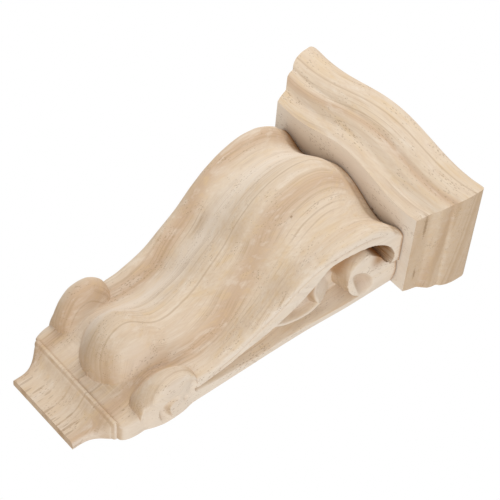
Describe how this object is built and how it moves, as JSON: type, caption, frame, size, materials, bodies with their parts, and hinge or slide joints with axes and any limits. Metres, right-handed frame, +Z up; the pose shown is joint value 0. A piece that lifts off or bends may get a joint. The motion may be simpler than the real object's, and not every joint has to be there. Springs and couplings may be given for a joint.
{
  "type": "wood corbel",
  "caption": "Small raw wood corbel: a carved S scroll bracket with a fluted front, a bulb and volutes, and a moulded cap block glued on top.",
  "frame": {"origin": "mount back_face: the middle of the flat back, half way up, on the plane that lies against the wall", "axes": "+Z up along the wall from the foot to the cap, +Y into the wall, so the corbel stands out towards -Y, and +X to the right as seen from the front"},
  "size_m": [0.0834, 0.0486, 0.1486],
  "materials": {
    "scroll_wood": "raw, sanded, unsealed pale hardwood, grain up the scroll",
    "cap_wood": "raw, sanded, unsealed pale hardwood, grain across the cap"
  },
  "bodies": {
    "root": {"scroll_body": "scroll_wood", "cap": "cap_wood"}
  },
  "joints": []
}
